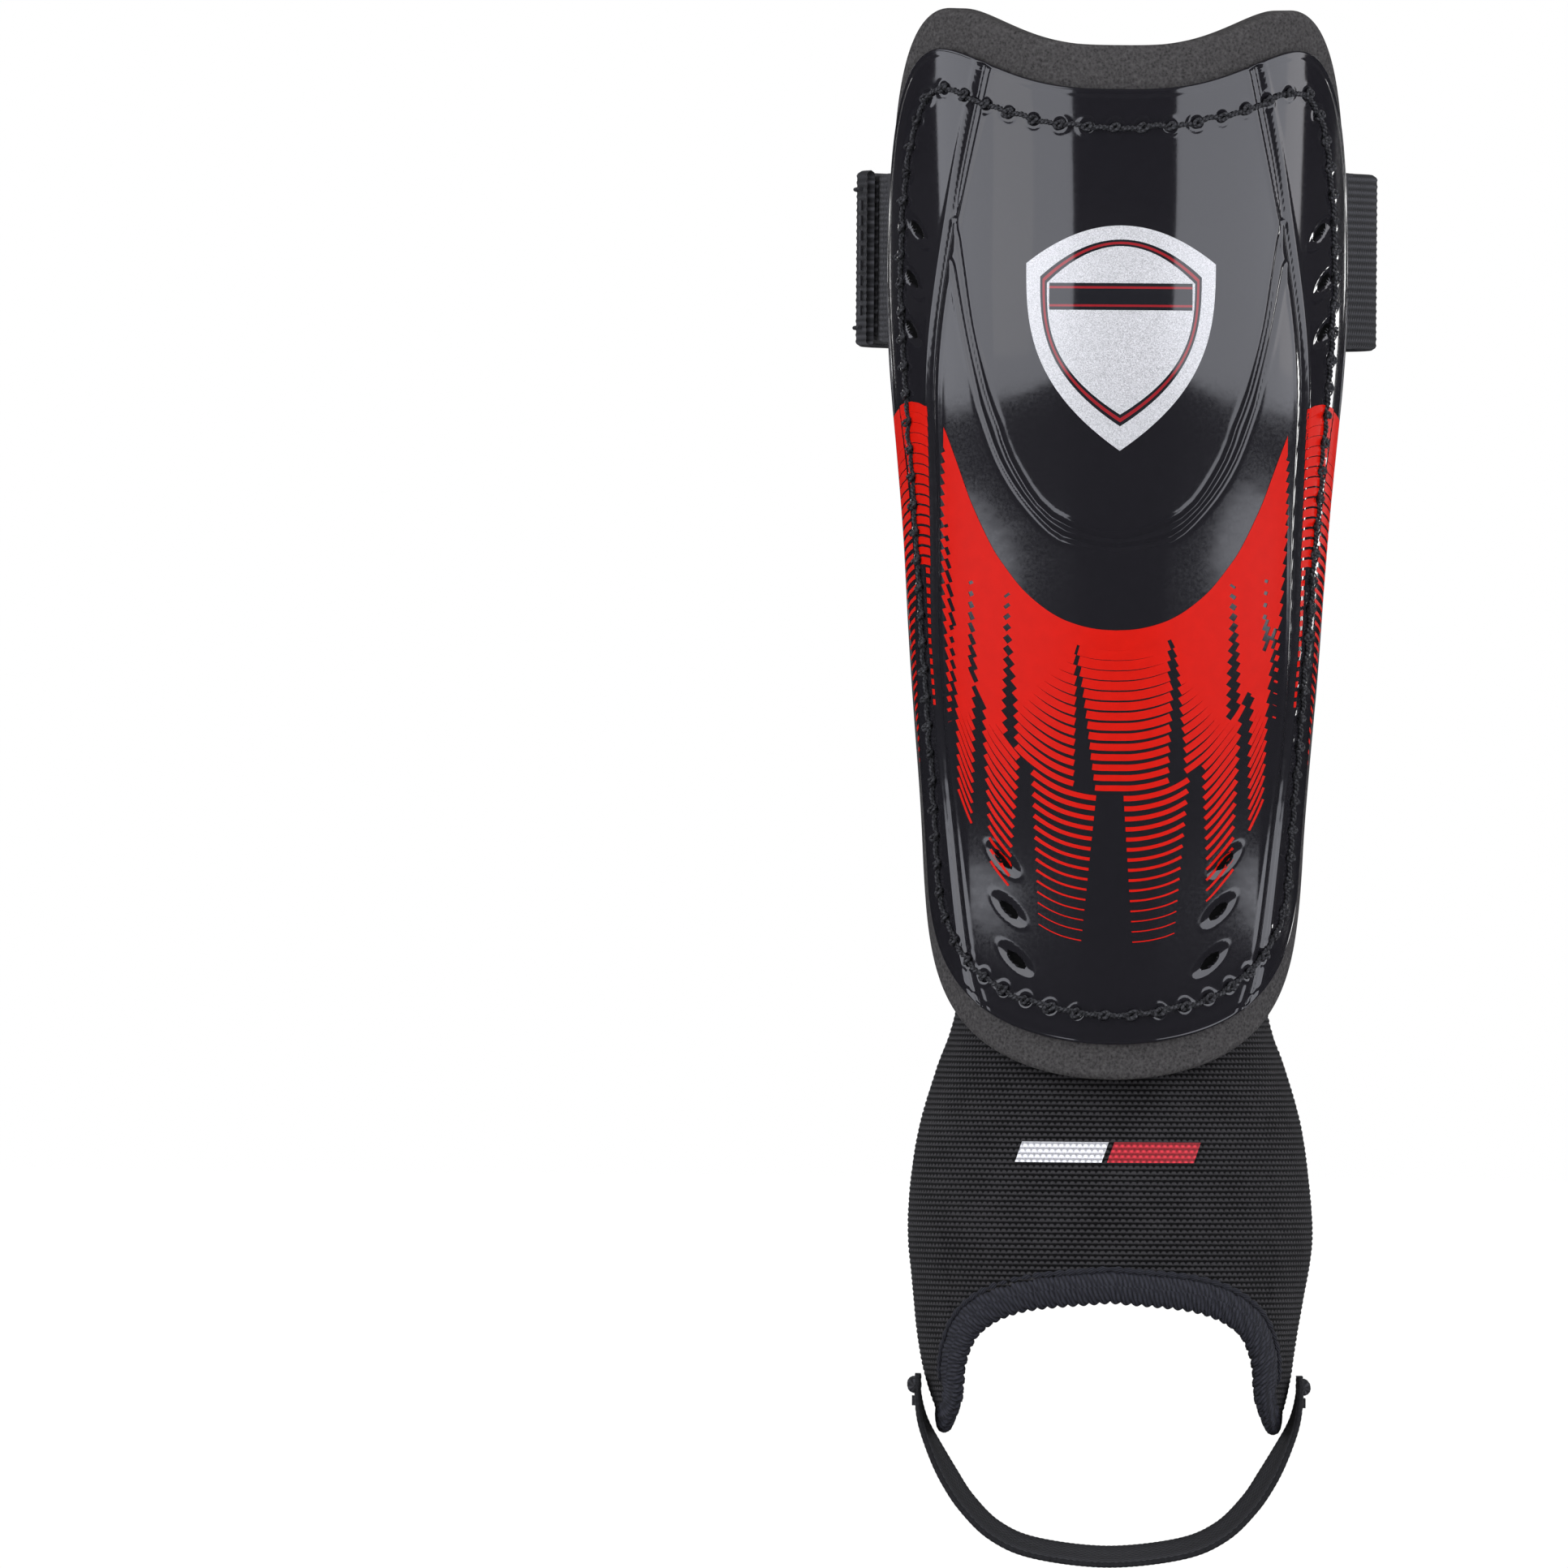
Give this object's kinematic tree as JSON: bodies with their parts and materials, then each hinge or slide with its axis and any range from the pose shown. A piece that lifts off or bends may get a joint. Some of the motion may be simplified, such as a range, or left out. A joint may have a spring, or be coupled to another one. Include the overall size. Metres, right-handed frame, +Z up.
{
  "type": "shin guard",
  "caption": "Curved hard-shell shin guard with foam backing, hook-and-loop calf strap, knitted ankle sleeve and a stirrup band under the foot.",
  "frame": {"origin": "on the leg's axis, at half the height of the foam pad", "axes": "+Z up the leg, front of the guard faces -Y, +X to the right as seen from the front"},
  "size_m": [0.1136, 0.1341, 0.3352],
  "materials": {
    "shell": "gloss",
    "foam": "matte",
    "thread": "matte",
    "elastic": "matte",
    "hooks": "matte",
    "loop_tape": "matte",
    "satin": "satin",
    "knit": "matte",
    "overlock": "matte"
  },
  "bodies": {
    "guard": {"hard_shell": "shell", "foam_pad": "foam", "perimeter_top_thread": "thread", "perimeter_bobbin_thread": "thread", "strap_sewn_end": "elastic", "loop_tab_sewn_end": "loop_tape"},
    "strap_back": {"strap_side": "elastic"},
    "strap_end": {"strap_free_end": "elastic", "hook_patch": "hooks", "hook_patch_stitches": "thread"},
    "tab": {"loop_tab": "loop_tape"},
    "label": {"satin_label": "satin"},
    "sleeve": {"ankle_sleeve": "knit", "sleeve_top_hem": "knit", "sleeve_seam_thread": "thread", "sleeve_bottom_binding": "overlock"},
    "stirrup": {"stirrup_band": "elastic", "stirrup_tack_left": "thread", "stirrup_tack_right": "thread"}
  },
  "joints": [
    {"name": "strap_back_swing", "type": "hinge", "parent": "guard", "child": "strap_back", "pos_m": [0.0503, -0.009, 0.062], "axis": [0, 0, -1], "range_deg": [0, 36]},
    {"name": "strap_open", "type": "hinge", "parent": "strap_back", "child": "strap_end", "pos_m": [0.00207, 0.07834, 0.062], "axis": [0, 0, -1], "range_deg": [0, 70]},
    {"name": "tab_flex", "type": "hinge", "parent": "guard", "child": "tab", "pos_m": [-0.0503, -0.009, 0.062], "axis": [0, 0, -1], "range_deg": [0, 25]},
    {"name": "label_flap", "type": "hinge", "parent": "guard", "child": "label", "pos_m": [0.0468, -0.012, 0.062], "axis": [0, 0, 1], "range_deg": [0, 25]},
    {"name": "sleeve_fold", "type": "hinge", "parent": "guard", "child": "sleeve", "pos_m": [0, -0.0339, -0.07], "axis": [1, 0, 0], "range_deg": [0, 30]},
    {"name": "stirrup_swing", "type": "hinge", "parent": "sleeve", "child": "stirrup", "pos_m": [0, 0, -0.184], "axis": [1, 0, 0], "range_deg": [-35, 35]}
  ],
  "couplings": [
    {"joint": "strap_back_swing", "follows": "strap_open", "ratio": 0.5}
  ]
}
